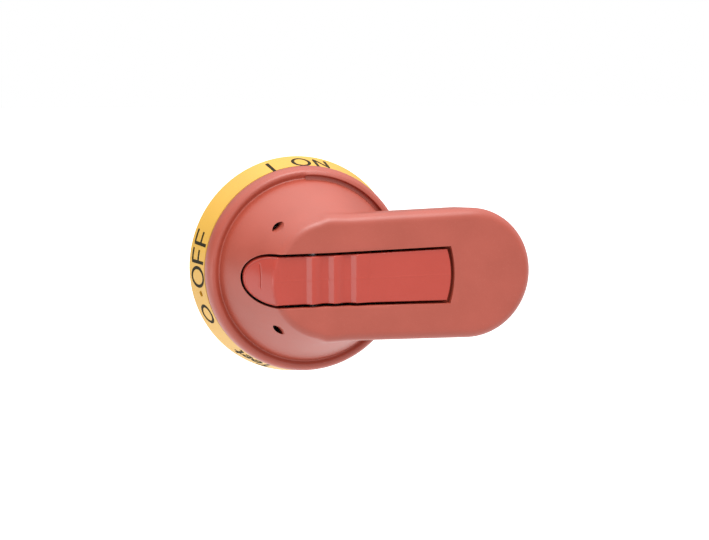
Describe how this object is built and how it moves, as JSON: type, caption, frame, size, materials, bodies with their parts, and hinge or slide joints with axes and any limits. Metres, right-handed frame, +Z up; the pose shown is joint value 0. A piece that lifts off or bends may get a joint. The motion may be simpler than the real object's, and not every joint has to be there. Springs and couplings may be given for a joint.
{
  "type": "rotary isolator switch handle",
  "caption": "Door-mounted rotary isolator handle: red pistol grip with a padlock clasp, turning on a yellow conical dial base.",
  "frame": {"origin": "centre of the fixing pattern on the door face, on the turning axis of the handle", "axes": "+Y points into the door, -Y towards the user, +Z is up the door, +X is to the right; the grip points along +X in the OFF position"},
  "size_m": [0.1005, 0.0397, 0.07],
  "materials": {
    "yellow_plastic": "fine moulded texture, satin",
    "red_handle_plastic": "matte moulded glass-filled plastic",
    "red_clasp_plastic": "satin moulded plastic",
    "seal_rubber": "matte",
    "grey_plastic": "matte",
    "black_plastic": "matte",
    "bearing_plastic": "satin",
    "brass": "turned",
    "zinc_steel": "zinc plated",
    "bright_steel": "ground",
    "spring_steel": "drawn wire"
  },
  "bodies": {
    "base": {"dial_base": "yellow_plastic", "door_gasket": "seal_rubber", "mounting_inserts": "brass", "lock_ring": "zinc_steel", "lock_ring_screws": "zinc_steel", "thrust_washer": "bearing_plastic"},
    "handle": {"handle_shell": "red_handle_plastic", "carrier_plate": "grey_plastic", "carrier_screws": "zinc_steel", "drive_hub": "black_plastic", "hub_screws": "zinc_steel", "hub_o_ring": "seal_rubber", "retaining_ring": "spring_steel", "grip_back_cover": "red_handle_plastic", "cover_screws": "zinc_steel", "clasp_pivot_pin": "bright_steel", "clasp_spring": "spring_steel", "lock_bolt_spring": "spring_steel", "release_spring_upper": "spring_steel", "release_spring_lower": "spring_steel"},
    "clasp": {"padlock_clasp": "red_clasp_plastic"},
    "bolt": {"lock_bolt": "bright_steel"},
    "release_upper": {"interlock_release_upper": "bright_steel"},
    "release_lower": {"interlock_release_lower": "bright_steel"}
  },
  "joints": [
    {"name": "handle_turn", "type": "hinge", "parent": "base", "child": "handle", "pos_m": [0, 0, 0], "axis": [0, 1, 0], "range_deg": [-90, 90]},
    {"name": "clasp_lift", "type": "hinge", "parent": "handle", "child": "clasp", "pos_m": [-0.004, -0.033, 0], "axis": [0, 0, -1], "range_deg": [0, 20], "stiffness_Nm_per_rad": 0.02, "springref_deg": -11.46, "deforming": ["clasp_spring"]},
    {"name": "bolt_slide", "type": "slide", "parent": "handle", "child": "bolt", "axis": [0, 1, 0], "range_m": [0, 0.0028], "deforming": ["lock_bolt_spring"]},
    {"name": "upper_release_press", "type": "slide", "parent": "handle", "child": "release_upper", "axis": [0, 1, 0], "range_m": [0, 0.0015], "stiffness_N_per_m": 150, "springref_m": -0.001, "deforming": ["release_spring_upper"]},
    {"name": "lower_release_press", "type": "slide", "parent": "handle", "child": "release_lower", "axis": [0, 1, 0], "range_m": [0, 0.0015], "stiffness_N_per_m": 150, "springref_m": -0.001, "deforming": ["release_spring_lower"]}
  ],
  "couplings": [
    {"joint": "bolt_slide", "follows": "clasp_lift", "m_per_rad": 0.00785}
  ]
}
